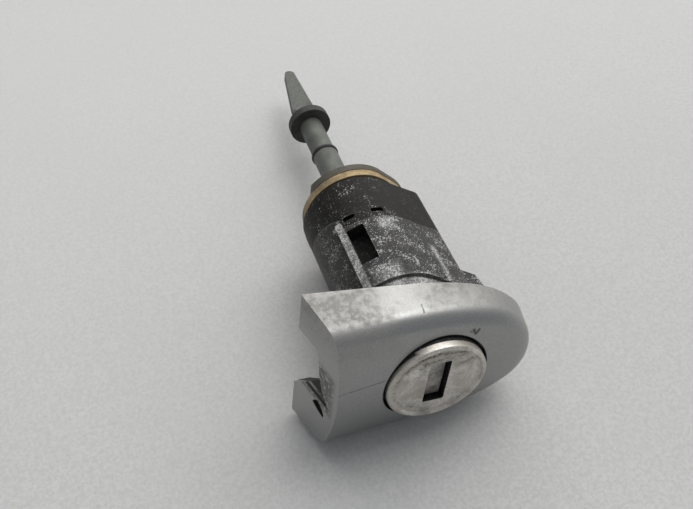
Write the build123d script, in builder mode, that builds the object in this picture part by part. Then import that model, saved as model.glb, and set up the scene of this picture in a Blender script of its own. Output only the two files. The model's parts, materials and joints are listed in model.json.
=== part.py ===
from build123d import *

import os
from math import atan2, cos, degrees, radians, sin, sqrt, tan

# Door lock cylinder with its painted handle end cap, in millimetres.
# The origin is on the lock's axis in the plane of the key hole in the cap. +Y runs along the
# axis to the rear, towards the door latch, and +Z is up, as the lock sits in the door.

# Clearances
turning_fit = 0.06      # radial, between pieces that turn in each other
seat_gap = 0.05         # between pieces that are put together and stay still
slide_gap = 0.05        # each side of a piece that slides in a slot
end_play = 0.1          # along the axis, between pieces that turn

# How far shapes run past or into each other before they are joined or cut
overlap = 1.0
beyond = 5.0

# End cap, painted, carried by the lock and closing the end of the door handle
cap_left = 20.8         # from the axis to the end that meets the handle, at the back edge
cap_right = 19.6        # from the axis to the rounded tip, at the back edge
cap_height = 29.9       # of the end that meets the handle, at the back edge
cap_drop = 0.3          # the cap's middle line lies this far under the lock's axis
cap_back = 9.0          # back edge beside the axis, from the key hole's plane
cap_back_slope = 4.5    # degrees that the back edge comes forward towards the tip
cap_taper = (0.4, 0.965)    # where the taper starts, as shares of the cap's left and half height
cap_curve = ((0.2, 0.895), (0.55, 0.76), (0.82, 0.52))  # the same to the right, up to the tip
cap_run_on = 6.0        # the outline runs on to the left, past the slanted end
cap_form_depth = 17.0   # from the back edge forward, before the crowned face cuts it
cap_draft = 4.5         # degrees that the sides lean in towards the face
cap_skin = 2.0          # thickness of the face
cap_wall = 1.7          # thickness of the sides
cap_edge_radius = 3.6   # between the face and the sides
face_crown_radius = 42.0    # the face is crowned about the long direction
face_crown_rise = 0.2   # the crown's top stands this far out of the key hole's plane
face_slope = 2.9        # degrees that the face falls back towards the tip
end_slant = 15.6        # degrees that the handle end leans
end_wall = 2.6          # thickness of the wall that meets the handle
notch_top = 6.7         # the handle's foot hooks in between the two arms of the end wall
notch_bottom = -7.0
notch_step_top = -3.7   # the lower arm is taller towards the face
notch_step_back = 7.3
notch_step_chamfer = 3.2
notch_front = 1.6
notch_depth = 4.4       # from the corner into the cap
groove_width = 1.2      # weight-saving groove in the end of the lower arm
groove_floor = 2.8      # from the corner into the cap
groove_start = (5.2, -6.3)      # along the axis and up, ends of the groove's middle line
groove_end = (2.0, -7.4)
hook_depth = 0.9        # snap hooks that hold the housing's flange, how far they stand in
hook_width = 6.0
hook_middle = -10.5
hook_length = 2.0       # along the axis
hook_root = 0.5         # how far the hooks reach into the wall

# Key face: a stainless cover crimped over the front of the plug
cover_radius = 8.9
cover_sheet = 0.55
cover_front = -1.15     # the raised rim's front, from the key hole's plane
cover_rim_width = 0.75  # flat rim round the dished middle
cover_dish = 0.3        # how deep the middle is dished
cover_edge_radius = 0.5
cover_skirt_back = 4.45 # where the skirt turns in behind the plug's head
cover_lip = 1.0
hole_gap = 0.5          # between the cover and the cap, where the black seal shows
seal_gap = 0.1
seal_height = 1.6
key_slot_height = 10.0
key_slot_width = 3.85
key_slot_corner = 0.35

# Plug
plug_radius = 7.2
plug_shoulder = 26.4    # end of the part that the locking sleeve runs on
keyway_height = 10.3
keyway_width = 3.3
keyway_back = 26.0
journal_radius = 6.2
journal_back = 28.0
tongue_height = 4.0
tongue_width = 11.0
tongue_length = 2.5

# Dust shutter behind the key slot
shutter_depth = 1.3     # from the dished face to the shutter
shutter_sheet = 0.6
shutter_right = 1.6     # free edge
shutter_height = 9.5
hinge_offset = 2.6      # hinge line, from the axis
hinge_pin_radius = 0.4
hinge_pin_length = 12.6
knuckle_radius = 0.8
knuckle_start = 2.2     # the knuckles leave room for the spring in the middle
knuckle_length = 2.9
shutter_pocket_height = 11.4
shutter_pocket_right = 2.2
shutter_pocket_back = 6.0

# Wafers
wafer_count = 8
wafer_pitch = 2.3
wafer_setback = 8.6     # middle of the first wafer along the axis
wafer_thickness = 1.1
wafer_width = 6.0
wafer_window_height = 10.4
wafer_window_width = 3.5
wafer_travel = 0.8      # from the shear line out into the sleeve's groove
lug_reach = 1.45        # spring lug on the wafer's side
lug_height = 1.4
spring_room = 3.6       # length of the wafer spring with the key in
wafer_spring_radius = 0.42
wafer_wire = 0.2
wafer_spring_turns = 5

# Locking sleeve round the plug
sleeve_wall = 1.3
sleeve_front = 7.0
sleeve_groove_width = 6.3
sleeve_groove_end = 0.8     # solid ring left at each end of the grooves

# Housing, die-cast
flange_front = 3.2
flange_thickness = 2.6
flange_left = 15.4
barrel_body = (0.0, 0.0, 10.3)      # the barrel's outline is drawn tight round three circles,
barrel_crest = (-2.2, 3.1, 9.3)     # each given by its middle to the right, its middle upwards
barrel_rail = (9.0, 4.4, 2.5)       # and its radius
barrel_front = 12.6     # the full outline starts clear of the cap's back edge
barrel_back = 33.0
neck_inset = 0.5        # how far the barrel is drawn in where it stands in the cap
bearing_front = 5.15
pad_rise = 0.25         # raised land on top of the barrel
pad_left = -8.0
pad_right = 7.6
pad_corner = 3.6
ridge_angle = 129.2     # degrees, from +X towards +Z
ridge_width = 1.1
ridge_foot = 12.0       # from the lock's axis
ridge_top = 13.75
ridge_back = 28.4
window_angle = 118.7    # recess for the cylinder's retaining catch
window_width = 3.3
window_front = 17.8
window_back = 26.2
window_floor = 10.4     # from the lock's axis
ear_reach = 14.2        # ear on the barrel beside the cap's tip
ear_front = 8.6
ear_back = 13.0
ear_shoulder = 13.6     # how far the ear reaches where its slope starts
ear_shoulder_back = 16.2
ear_slope_back = 18.9
ear_root = 10.4         # the ear grows out of the barrel here
ear_top = 5.0
ear_bottom = -4.0

# Rear collar over the barrel, with the return spring inside
collar_front = 27.0
collar_step = -8.0          # the collar's front edge steps back on the left
collar_step_back = 29.6
collar_left = -12.4         # and slants to here
collar_left_front = 32.0
collar_wall = 0.9
collar_back = 38.4
collar_floor = 1.6
collar_chamfer = 0.5
collar_slot_width = 1.0     # drain slots
collar_slot_length = 2.4
collar_slot_setback = 2.0   # from the collar's front edge to the slots' middle
collar_slot_angles = (119.5, 95.9)
collar_slot_foot = 11.0     # from the lock's axis
stud_radius = 0.9       # studs on the collar, riveted over the rear plate
stud_inset = 1.9        # the studs' middles, inside the barrel's body
stud_head_radius = 1.4
stud_head_height = 0.5
stud_angles = (30.0, 150.0, 270.0)

# Rear plate, brass ring and clips
ring_thickness = 1.5
ring_rise = 0.1         # how far the ring stands out of the collar's outline
plate_thickness = 1.4
plate_rise = 0.2
plate_crest = (-1.95, 3.4, 9.0)     # the ring's and plate's outline, in place of barrel_crest
plate_left = -9.3       # the plate's sides are cut off straight
plate_right = 9.6
clip_groove_depth = 0.8
clip_thickness = 0.8
clip_rise = 1.4         # how far the clips stand out of their grooves
clip_opening = 70.0     # degrees left open
rear_clip_play = 0.12

# Tail shaft that carries the turn to the latch
driver_thickness = 4.2
driver_slot_depth = 2.6
hub_radius = 6.3
boss_radius = 5.0
boss_back = 43.9
cone_back = 51.5
neck_radius = 2.6
neck_back = 59.1
ring_groove_width = 1.1
o_ring_radius = 0.5     # of its section
o_ring_bite = 0.55      # depth of the groove that it sits in
shaft_radius = 2.4
shaft_back = 72.0
disc_front = 69.6
disc_thickness = 1.7
disc_radius = 4.4
disc_bite = 0.5         # depth of the groove that the rubber disc sits in
blade_front = 75.0      # end of the flattened part's run-in
blade_back = 89.2
blade_width = 4.7
blade_tip_width = 2.2
blade_thickness = 1.8
blade_tip_offset = 0.7  # the tip stands to the right of the axis

# Springs
return_wire = 0.55      # half the width of its square wire
return_mean_radius = 7.4
return_turns = 2
return_pitch = 1.35
return_gap = 0.02       # between the last turn and the collar's floor
spring_leg = 1.2        # how far the legs go into the driver and the collar's floor
spring_leg_angle = 90.0
shutter_wire = 0.13     # half the width of its square wire
shutter_spring_radius = 0.62
shutter_spring_turns = 3.5
shutter_spring_pitch = 0.6
shutter_leg_right = 1.8
shutter_leg_angle = 34.0    # round the pin, where the right leg leaves the coil

# Sizes that follow
dish_face = cover_front + cover_dish
cover_inner = cover_radius - cover_sheet
head_radius = cover_inner - seat_gap
head_front = dish_face + cover_sheet
head_back = cover_skirt_back - seat_gap
lip_back = cover_skirt_back + cover_sheet
hole_radius = cover_radius + hole_gap
shutter_front = dish_face + shutter_depth
hinge_y = shutter_front + hinge_pin_radius
wafer_radius = plug_radius - seat_gap
wafer_slot = wafer_thickness + 2 * slide_gap
wafer_side = wafer_width / 2
lug_bottom = -lug_height / 2
pocket_side = wafer_side + lug_reach + slide_gap
pocket_bottom = lug_bottom - spring_room - seat_gap
pocket_top = -lug_bottom + wafer_travel + slide_gap
sleeve_inner = plug_radius + turning_fit
sleeve_outer = sleeve_inner + sleeve_wall
sleeve_back = plug_shoulder - seat_gap
housing_bore = sleeve_outer + turning_fit
bore_front = sleeve_front - seat_gap
counterbore = cover_radius + turning_fit
flange_back = flange_front + flange_thickness
barrel_rounds = (barrel_body, barrel_crest, barrel_rail)
plate_rounds = (barrel_body, plate_crest)
barrel_radius = barrel_body[2]
collar_inside_back = collar_back - collar_floor
collar_slot_middle = collar_front + collar_slot_setback
stud_circle = barrel_radius - stud_inset
boss_hole = boss_radius + turning_fit
ring_front = collar_back + seat_gap
plate_front = ring_front + ring_thickness + seat_gap
plate_back = plate_front + plate_thickness
rear_clip_front = plate_back + rear_clip_play
driver_front = journal_back + end_play
driver_back = driver_front + driver_thickness
driver_radius = housing_bore - turning_fit
hub_back = collar_back - end_play
plug_clip_front = plug_shoulder + slide_gap
shutter_pocket_left = hinge_offset + knuckle_radius + 2 * slide_gap
pin_seat_radius = hinge_pin_radius + seat_gap
pin_seat_half = hinge_pin_length / 2 + seat_gap
shutter_coil = shutter_spring_turns * shutter_spring_pitch
o_ring_middle = neck_back + ring_groove_width / 2
o_ring_inner = shaft_radius - o_ring_bite
disc_inner = shaft_radius - disc_bite + seat_gap
spring_height = return_turns * return_pitch
spring_start = collar_inside_back - return_wire - return_gap - spring_height
cap_half = cap_height / 2
groove_run = (groove_end[0] - groove_start[0], groove_end[1] - groove_start[1])
groove_length = sqrt(groove_run[0] ** 2 + groove_run[1] ** 2)
groove_turn = degrees(atan2(groove_run[1], groove_run[0]))
groove_foot = (-cap_left + groove_floor, (groove_start[0] + groove_end[0]) / 2,
               (groove_start[1] + groove_end[1]) / 2)
cap_corner_y = cap_back + cap_left * tan(radians(cap_back_slope))


def section(y):
    """Plane across the lock's axis at y, with X to the right and Z up."""
    return Plane(origin=(0, y, 0), x_dir=(1, 0, 0), z_dir=(0, -1, 0))


def tube(front, back, outer, inner=0.0):
    """Ring or disc round the lock's axis."""
    with BuildPart() as ring:
        with BuildSketch(section(front)):
            Circle(outer)
            if inner:
                Circle(inner, mode=Mode.SUBTRACT)
        extrude(amount=front - back)
    return ring.part


def outline(rounds, front, back, inset=0.0):
    """Bar along the lock's axis, drawn tight round circles and drawn in by inset."""
    with BuildPart() as bar:
        with BuildSketch(section(front)):
            for across, up, radius in rounds:
                with Locations((across, up)):
                    Circle(radius - inset)
            make_hull()
        extrude(amount=front - back)
    return bar.part


def block(x, y, z):
    """Box between the given pairs of coordinates."""
    with BuildPart() as box:
        with Locations(((x[0] + x[1]) / 2, (y[0] + y[1]) / 2, (z[0] + z[1]) / 2)):
            Box(x[1] - x[0], y[1] - y[0], z[1] - z[0])
    return box.part


def upright(x, y, radius, half):
    """Pin along Z."""
    with BuildPart() as pin:
        with Locations((x, y, 0)):
            Cylinder(radius, 2 * half)
    return pin.part


def coil(start, direction, radius, pitch, turns, wire, turned=0.0):
    """Spring of square wire, wound from start along direction."""
    with BuildPart() as spring:
        with BuildLine() as path:
            Helix(pitch, pitch * turns, radius, center=start, direction=direction)
        with BuildSketch(Plane(origin=path.line @ 0, z_dir=path.line % 0)):
            Rectangle(wire, wire)
        sweep(is_frenet=True)
    return spring.part.rotate(Axis(start, direction), turned)


def circlip(front, seat):
    """Open ring that snaps into a groove of a round piece of radius seat."""
    inner = seat - clip_groove_depth + seat_gap
    outer = seat + clip_rise
    half_open = radians(clip_opening / 2)
    with BuildPart() as clip:
        with BuildSketch(section(front)):
            Circle(outer)
            Circle(inner, mode=Mode.SUBTRACT)
            with BuildLine():
                Polyline(
                    (0, 0),
                    (2 * outer * sin(half_open), -2 * outer * cos(half_open)),
                    (-2 * outer * sin(half_open), -2 * outer * cos(half_open)),
                    close=True,
                )
            make_face(mode=Mode.SUBTRACT)
        extrude(amount=-clip_thickness)
    return clip.part


def clip_groove(front, seat):
    """What is turned away for a circlip."""
    return tube(front - slide_gap, front + clip_thickness + slide_gap,
                seat + beyond, seat - clip_groove_depth)


def save(piece, name):
    """Label a finished piece and write its STEP file."""
    piece.label = name
    export_step(piece, f"parts/{name}.step")


def end_plane(setback):
    """Slanted plane of the cap's handle end, moved into the cap by setback."""
    lean = radians(end_slant)
    across = Vector(cos(lean), sin(lean), 0)
    foot = Vector(-cap_left, cap_corner_y, 0) + across * setback
    return Plane(origin=foot, x_dir=(0, 0, 1), z_dir=across)


def cap_outline(plane, inset):
    """D-shaped outline of the cap on a plane, drawn in by inset."""
    half = cap_half - inset
    tip = cap_right - inset
    start = -cap_left - cap_run_on
    curve = [(tip * across, half * up) for across, up in cap_curve]
    with BuildSketch(plane) as outline:
        with BuildLine():
            upper = Spline(
                (start, half),
                (-cap_left * cap_taper[0], half * cap_taper[1]),
                *curve,
                (tip, 0),
                tangents=[(1, 0), (0, -1)],
            )
            mirror(upper, about=Plane.XZ)
            Line((start, half), (start, -half))
        make_face()
    return outline.sketch


def cap_form(inset, sink):
    """The cap's outer form, drawn in by inset at the sides and sunk by sink at the face."""
    tilt = radians(cap_back_slope)
    forward = Vector(-sin(tilt), -cos(tilt), 0)
    foot = Vector(0, cap_back, -cap_drop)
    along = (cos(tilt), -sin(tilt), 0)
    back_plane = Plane(origin=foot, x_dir=along, z_dir=forward)
    front_plane = Plane(origin=foot + forward * cap_form_depth, x_dir=along, z_dir=forward)
    slope = radians(face_slope)
    crown_plane = Plane(origin=(0, sink - face_crown_rise, -cap_drop),
                        x_dir=(-sin(slope), cos(slope), 0),
                        z_dir=(cos(slope), sin(slope), 0))
    with BuildPart() as form:
        add(cap_outline(back_plane, inset))
        add(cap_outline(front_plane, inset + cap_form_depth * tan(radians(cap_draft))))
        loft()
        with BuildSketch(crown_plane):
            with Locations((face_crown_radius, 0)):
                Circle(face_crown_radius)
        extrude(amount=2 * (cap_left + cap_right), both=True, mode=Mode.INTERSECT)
    return form.part


def cap_room():
    """The cap's hollow, behind the wall that meets the handle."""
    with BuildPart() as room:
        add(cap_form(cap_wall, cap_skin))
        split(bisect_by=end_plane(end_wall), keep=Keep.TOP)
    return room.part


def snap_hooks():
    """Two hooks on the cap's long walls, behind the housing's flange."""
    front = flange_back + seat_gap
    with BuildPart() as hooks:
        add(cap_form(cap_wall - hook_root, cap_skin))
        add(cap_form(cap_wall + hook_depth, cap_skin), mode=Mode.SUBTRACT)
        add(block((hook_middle - hook_width / 2, hook_middle + hook_width / 2),
                  (front, front + hook_length), (-cap_half, cap_half)), mode=Mode.INTERSECT)
    return hooks.part


def ridge_form(gap):
    """Ridge along the barrel, drawn larger by gap."""
    foot = ridge_foot - gap
    with BuildPart() as ridge:
        with BuildSketch(radial_plane(ridge_angle, foot, (barrel_front + ridge_back) / 2)):
            Rectangle(ridge_back - barrel_front + 2 * gap, ridge_width + 2 * gap)
        extrude(amount=ridge_top + gap - foot)
    return ridge.part


def collar_seat():
    """What is taken off the housing's rear end for the collar."""
    with BuildPart() as seat:
        add(outline(barrel_rounds, collar_front, barrel_back + beyond, -beyond))
        add(outline(barrel_rounds, collar_front, barrel_back + beyond, collar_wall),
            mode=Mode.SUBTRACT)
        add(left_lobe(0), mode=Mode.SUBTRACT)
    return seat.part


def left_lobe(gap):
    """Room at the left of the barrel where the collar's front edge runs back."""
    with BuildPart() as lobe:
        with BuildSketch():
            with BuildLine():
                Polyline(
                    (collar_left - beyond, collar_front - beyond),
                    (collar_step + gap, collar_front - beyond),
                    (collar_step + gap, collar_step_back + gap),
                    (collar_left, collar_left_front + gap),
                    (collar_left - beyond, collar_left_front + gap),
                    close=True,
                )
            make_face()
        extrude(amount=cap_half, both=True)
    return lobe.part


def pad_land():
    """Raised land on top of the barrel."""
    with BuildPart() as land:
        with BuildSketch():
            with Locations(((pad_left + pad_right) / 2, (barrel_front + collar_front) / 2)):
                RectangleRounded(pad_right - pad_left, collar_front - barrel_front, pad_corner)
            with Locations((pad_left + pad_corner, (barrel_front + collar_front) / 2)):
                Rectangle(2 * pad_corner, collar_front - barrel_front)
        extrude(amount=cap_half)
        add(outline(barrel_rounds, barrel_front, collar_front, -pad_rise), mode=Mode.INTERSECT)
    return land.part


def radial_plane(angle, radius, y):
    """Plane touching the round of the given radius at an angle, with its X along the axis."""
    turn = radians(angle)
    outward = Vector(cos(turn), 0, sin(turn))
    return Plane(origin=outward * radius + Vector(0, y, 0), x_dir=(0, 1, 0), z_dir=outward)


def around(angles, radius):
    """Points round the axis, in a section plane's own coordinates."""
    return [(radius * cos(radians(a)), radius * sin(radians(a))) for a in angles]


def shutter_leg(side):
    """Leg of the shutter spring, to the right on the shutter or to the left on the pocket."""
    turn = radians(shutter_leg_angle)
    across = shutter_spring_radius * cos(turn)
    start = (side * across - hinge_offset, hinge_y + side * shutter_spring_radius * sin(turn),
             side * shutter_coil / 2)
    reach = shutter_leg_right if side > 0 else shutter_pocket_left - hinge_offset - across
    with BuildPart() as leg:
        with BuildSketch(Plane(origin=start, x_dir=(0, 0, 1), z_dir=(side, 0, 0))):
            Rectangle(2 * shutter_wire, 2 * shutter_wire)
        extrude(amount=reach)
    return leg.part


def tail_blade():
    """Flattened end of the tail shaft, narrowing to a rounded tip that stands to one side."""
    half = blade_width / 2
    tip_end = blade_back - blade_tip_width / 2
    with BuildPart() as blade:
        add(tube(shaft_back - overlap / 2, blade_front, shaft_radius))
        with BuildSketch():
            with BuildLine():
                Polyline(
                    (blade_tip_offset + blade_tip_width / 2, tip_end),
                    (half, blade_front + overlap),
                    (half, blade_front - overlap),
                    (-half, blade_front - overlap),
                    (-half, blade_front + overlap),
                    (blade_tip_offset - blade_tip_width / 2, tip_end),
                    close=True,
                )
            make_face()
            with Locations((blade_tip_offset, tip_end)):
                Circle(blade_tip_width / 2)
        extrude(amount=blade_thickness / 2, both=True)
        with BuildSketch(Plane.YZ):
            with BuildLine():
                Polyline(
                    (shaft_back - overlap, shaft_radius + overlap),
                    (shaft_back, shaft_radius),
                    (blade_front, blade_thickness / 2),
                    (blade_back + overlap, blade_thickness / 2),
                    (blade_back + overlap, -blade_thickness / 2),
                    (blade_front, -blade_thickness / 2),
                    (shaft_back, -shaft_radius),
                    (shaft_back - overlap, -shaft_radius - overlap),
                    close=True,
                )
            make_face()
        extrude(amount=blade_width, both=True, mode=Mode.INTERSECT)
    return blade.part


def wafer_side_of(index):
    """The wafers stand out to the top and to the bottom by turns."""
    return 1 if index % 2 == 0 else -1


def wafer_middle(index):
    """Where a wafer stands along the axis."""
    return wafer_setback + index * wafer_pitch


def wafer_room(index):
    """Slot for a wafer, with the pocket for its lug and spring."""
    side = wafer_side_of(index)
    middle = wafer_middle(index)
    depth = (middle - wafer_slot / 2, middle + wafer_slot / 2)
    half = wafer_side + slide_gap
    with BuildPart() as room:
        add(block((-half, half), depth, (-plug_radius - overlap, plug_radius + overlap)))
        add(block(sorted((0, side * pocket_side)), depth,
                  sorted((side * pocket_bottom, side * pocket_top))))
    return room.part


def wafer_plate(index):
    """Wafer with its key window and spring lug, held flush by the right key."""
    side = wafer_side_of(index)
    with BuildPart() as plate:
        with BuildSketch(section(wafer_middle(index) - wafer_thickness / 2)):
            Circle(wafer_radius)
            Rectangle(wafer_width, 4 * plug_radius, mode=Mode.INTERSECT)
            Rectangle(wafer_window_width, wafer_window_height, mode=Mode.SUBTRACT)
            with Locations((side * (wafer_side + lug_reach / 2), 0)):
                Rectangle(lug_reach, lug_height)
        extrude(amount=-wafer_thickness)
    return plate.part


def wafer_spring(index):
    """Small spring between the pocket's end and the wafer's lug."""
    side = wafer_side_of(index)
    length = spring_room - wafer_wire
    low = lug_bottom - spring_room + wafer_wire / 2
    start_z = low if side > 0 else -low - length
    start = (side * (wafer_side + lug_reach / 2), wafer_middle(index), start_z)
    return coil(start, (0, 0, 1), wafer_spring_radius, length / wafer_spring_turns,
                wafer_spring_turns, wafer_wire)


os.makedirs("parts", exist_ok=True)

# Handle end cap
with BuildPart() as handle_end_cap:
    add(cap_form(0, 0))
    front_loop = edges().filter_by_position(Axis.Y, -beyond, cap_back / 2)
    fillet([e for e in front_loop if e.center().X > -cap_left], radius=cap_edge_radius)
    split(bisect_by=end_plane(0), keep=Keep.TOP)
    add(cap_room(), mode=Mode.SUBTRACT)
    add(snap_hooks())
    with BuildSketch(section(-beyond)):
        Circle(hole_radius)
    extrude(amount=-(beyond + flange_front), mode=Mode.SUBTRACT)
    notch_plane = Plane(origin=(-cap_left - overlap, 0, 0), x_dir=(0, 1, 0), z_dir=(1, 0, 0))
    with BuildSketch(notch_plane):
        with BuildLine():
            Polyline(
                (cap_corner_y + overlap, notch_top),
                (notch_front, notch_top),
                (notch_front, notch_step_top),
                (notch_step_back, notch_step_top),
                (notch_step_back + notch_step_chamfer, notch_bottom),
                (cap_corner_y + overlap, notch_bottom),
                close=True,
            )
        make_face()
    extrude(amount=notch_depth + overlap, mode=Mode.SUBTRACT)
    groove_plane = Plane(origin=groove_foot, x_dir=(0, 1, 0), z_dir=(1, 0, 0))
    with BuildSketch(groove_plane.rotated((0, 0, groove_turn))):
        SlotOverall(groove_length, groove_width)
    extrude(amount=-beyond, mode=Mode.SUBTRACT)

save(handle_end_cap.part, "handle_end_cap")

# Die-cast housing
with BuildPart() as lock_housing:
    add(cap_form(cap_wall + seat_gap, cap_skin + seat_gap))
    add(block((-flange_left, cap_right), (flange_front, flange_back), (-cap_half, cap_half)),
        mode=Mode.INTERSECT)
    add(outline(barrel_rounds, flange_back - overlap, barrel_front + overlap, neck_inset))
    add(outline(barrel_rounds, barrel_front, barrel_back))
    add(pad_land())
    with BuildSketch(Plane.XY.offset(ear_bottom)):
        with BuildLine():
            Polyline(
                (ear_root, ear_front),
                (ear_reach, ear_front),
                (ear_reach, ear_back),
                (ear_shoulder, ear_shoulder_back),
                (ear_root, ear_slope_back),
                close=True,
            )
        make_face()
    extrude(amount=ear_top - ear_bottom)
    add(tube(flange_front - overlap, bearing_front, counterbore), mode=Mode.SUBTRACT)
    add(tube(bearing_front, bore_front, sleeve_inner), mode=Mode.SUBTRACT)
    add(tube(bore_front, barrel_back + overlap, housing_bore), mode=Mode.SUBTRACT)
    add(collar_seat(), mode=Mode.SUBTRACT)
    add(ridge_form(0))
    with BuildSketch(radial_plane(window_angle, window_floor, (window_front + window_back) / 2)):
        Rectangle(window_back - window_front, window_width)
    extrude(amount=beyond, mode=Mode.SUBTRACT)

save(lock_housing.part, "lock_housing")

# Rubber ring between the key face and the cap
save(tube(flange_front - seal_height, flange_front - seat_gap, hole_radius - seat_gap,
          cover_radius + seal_gap), "face_seal")

# Rear collar, with the studs that hold the rear plate
with BuildPart() as rear_collar:
    add(outline(barrel_rounds, collar_front + seat_gap, collar_back))
    chamfer(faces().sort_by(Axis.Y)[-1].edges(), length=collar_chamfer)
    add(outline(barrel_rounds, collar_front - beyond, collar_inside_back, collar_wall - seat_gap),
        mode=Mode.SUBTRACT)
    add(tube(collar_front, collar_back + beyond, hub_radius + turning_fit), mode=Mode.SUBTRACT)
    add(left_lobe(seat_gap), mode=Mode.SUBTRACT)
    add(ridge_form(seat_gap), mode=Mode.SUBTRACT)
    for slot_angle in collar_slot_angles:
        with BuildSketch(radial_plane(slot_angle, collar_slot_foot, collar_slot_middle)):
            SlotOverall(collar_slot_length, collar_slot_width, rotation=90)
        extrude(amount=beyond, mode=Mode.SUBTRACT)
    with BuildSketch(section(collar_back)):
        with Locations(*around(stud_angles, stud_circle)):
            Circle(stud_radius)
    extrude(amount=collar_back - plate_back - seat_gap)
    with BuildSketch(section(plate_back + seat_gap)):
        with Locations(*around(stud_angles, stud_circle)):
            Circle(stud_head_radius)
    extrude(amount=-stud_head_height)
    with BuildSketch(section(collar_inside_back)):
        with Locations(*around((spring_leg_angle,), return_mean_radius)):
            Rectangle(2 * (return_wire + seat_gap), 2 * (return_wire + seat_gap))
    extrude(amount=-spring_leg - seat_gap, mode=Mode.SUBTRACT)

save(rear_collar.part, "rear_collar")

# Brass washer and rear plate, held by the collar's studs
with BuildPart() as brass_ring:
    add(outline(plate_rounds, ring_front, ring_front + ring_thickness, -ring_rise))
    with BuildSketch(section(ring_front)):
        Circle(boss_hole)
        with Locations(*around(stud_angles, stud_circle)):
            Circle(stud_radius + seat_gap)
    extrude(amount=-ring_thickness, mode=Mode.SUBTRACT)

save(brass_ring.part, "brass_ring")

with BuildPart() as rear_plate:
    add(outline(plate_rounds, plate_front, plate_back, -plate_rise))
    add(block((plate_left, plate_right), (plate_front, plate_back), (-cap_half, cap_half)),
        mode=Mode.INTERSECT)
    with BuildSketch(section(plate_front)):
        Circle(boss_hole)
        with Locations(*around(stud_angles, stud_circle)):
            Circle(stud_radius + seat_gap)
    extrude(amount=-plate_thickness, mode=Mode.SUBTRACT)

save(rear_plate.part, "rear_plate")

# Key face cover, crimped round the plug's head
with BuildPart() as key_face_cover:
    with BuildSketch():
        with BuildLine():
            Polyline(
                (0, dish_face),
                (cover_radius - cover_rim_width - cover_dish, dish_face),
                (cover_radius - cover_rim_width, cover_front),
                (cover_radius, cover_front),
                (cover_radius, lip_back),
                (cover_radius - cover_lip, lip_back),
                (cover_radius - cover_lip, cover_skirt_back),
                (cover_inner, cover_skirt_back),
                (cover_inner, head_front),
                (0, head_front),
                close=True,
            )
        make_face()
    revolve(axis=Axis.Y)
    rim = edges().filter_by(GeomType.CIRCLE).filter_by(lambda e: e.radius == cover_radius)
    fillet(rim.sort_by(Axis.Y)[0], radius=cover_edge_radius)
    with BuildSketch(section(0)):
        RectangleRounded(key_slot_width, key_slot_height, key_slot_corner)
    extrude(amount=beyond, both=True, mode=Mode.SUBTRACT)

save(key_face_cover.part, "key_face_cover")

# Plug
with BuildPart() as lock_plug:
    add(tube(head_front + seat_gap, head_back, head_radius))
    add(tube(head_back, plug_shoulder, plug_radius))
    add(tube(plug_shoulder, journal_back, journal_radius))
    add(block((-tongue_width / 2, tongue_width / 2), (journal_back, journal_back + tongue_length),
              (-tongue_height / 2, tongue_height / 2)))
    add(clip_groove(plug_clip_front, journal_radius), mode=Mode.SUBTRACT)
    add(block((-keyway_width / 2, keyway_width / 2), (-beyond, keyway_back),
              (-keyway_height / 2, keyway_height / 2)), mode=Mode.SUBTRACT)
    add(block((-shutter_pocket_left, shutter_pocket_right), (-beyond, shutter_pocket_back),
              (-shutter_pocket_height / 2, shutter_pocket_height / 2)), mode=Mode.SUBTRACT)
    add(block((-hinge_offset - pin_seat_radius, -hinge_offset + pin_seat_radius),
              (-beyond, hinge_y), (-pin_seat_half, pin_seat_half)), mode=Mode.SUBTRACT)
    add(upright(-hinge_offset, hinge_y, pin_seat_radius, pin_seat_half), mode=Mode.SUBTRACT)
    for number in range(wafer_count):
        add(wafer_room(number), mode=Mode.SUBTRACT)

save(lock_plug.part, "lock_plug")

save(circlip(plug_clip_front, journal_radius), "plug_circlip")

# Dust shutter on its pin
with BuildPart() as dust_shutter:
    add(block((-hinge_offset, shutter_right), (shutter_front, shutter_front + shutter_sheet),
              (-shutter_height / 2, shutter_height / 2)))
    with Locations((-hinge_offset, hinge_y, 0)):
        Cylinder(knuckle_radius, 2 * (knuckle_start + knuckle_length))
    add(block((-hinge_offset - beyond, -hinge_offset + knuckle_radius + slide_gap),
              (shutter_front - beyond, shutter_front + beyond),
              (-knuckle_start, knuckle_start)), mode=Mode.SUBTRACT)
    add(upright(-hinge_offset, hinge_y, pin_seat_radius, shutter_height), mode=Mode.SUBTRACT)

save(dust_shutter.part, "dust_shutter")

save(upright(-hinge_offset, hinge_y, hinge_pin_radius, hinge_pin_length / 2), "shutter_pin")

# Spring that swings the shutter shut, with one leg on the shutter and one on the pocket's side
with BuildPart() as shutter_spring:
    add(coil((-hinge_offset, hinge_y, -shutter_coil / 2), (0, 0, 1), shutter_spring_radius,
             shutter_spring_pitch, shutter_spring_turns, 2 * shutter_wire,
             turned=shutter_leg_angle + 180))
    add(shutter_leg(-1))
    add(shutter_leg(1))

save(shutter_spring.part, "shutter_spring")

# Wafers and their springs
for number in range(wafer_count):
    save(wafer_plate(number), f"wafer_{number + 1}")
    save(wafer_spring(number), f"wafer_spring_{number + 1}")

# Locking sleeve
groove_room = (sleeve_front + sleeve_groove_end, sleeve_back - sleeve_groove_end)
with BuildPart() as locking_sleeve:
    add(tube(sleeve_front, sleeve_back, sleeve_outer, sleeve_inner))
    add(block((-sleeve_groove_width / 2, sleeve_groove_width / 2), groove_room,
              (-sleeve_outer - overlap, sleeve_outer + overlap)), mode=Mode.SUBTRACT)

save(locking_sleeve.part, "locking_sleeve")

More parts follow.
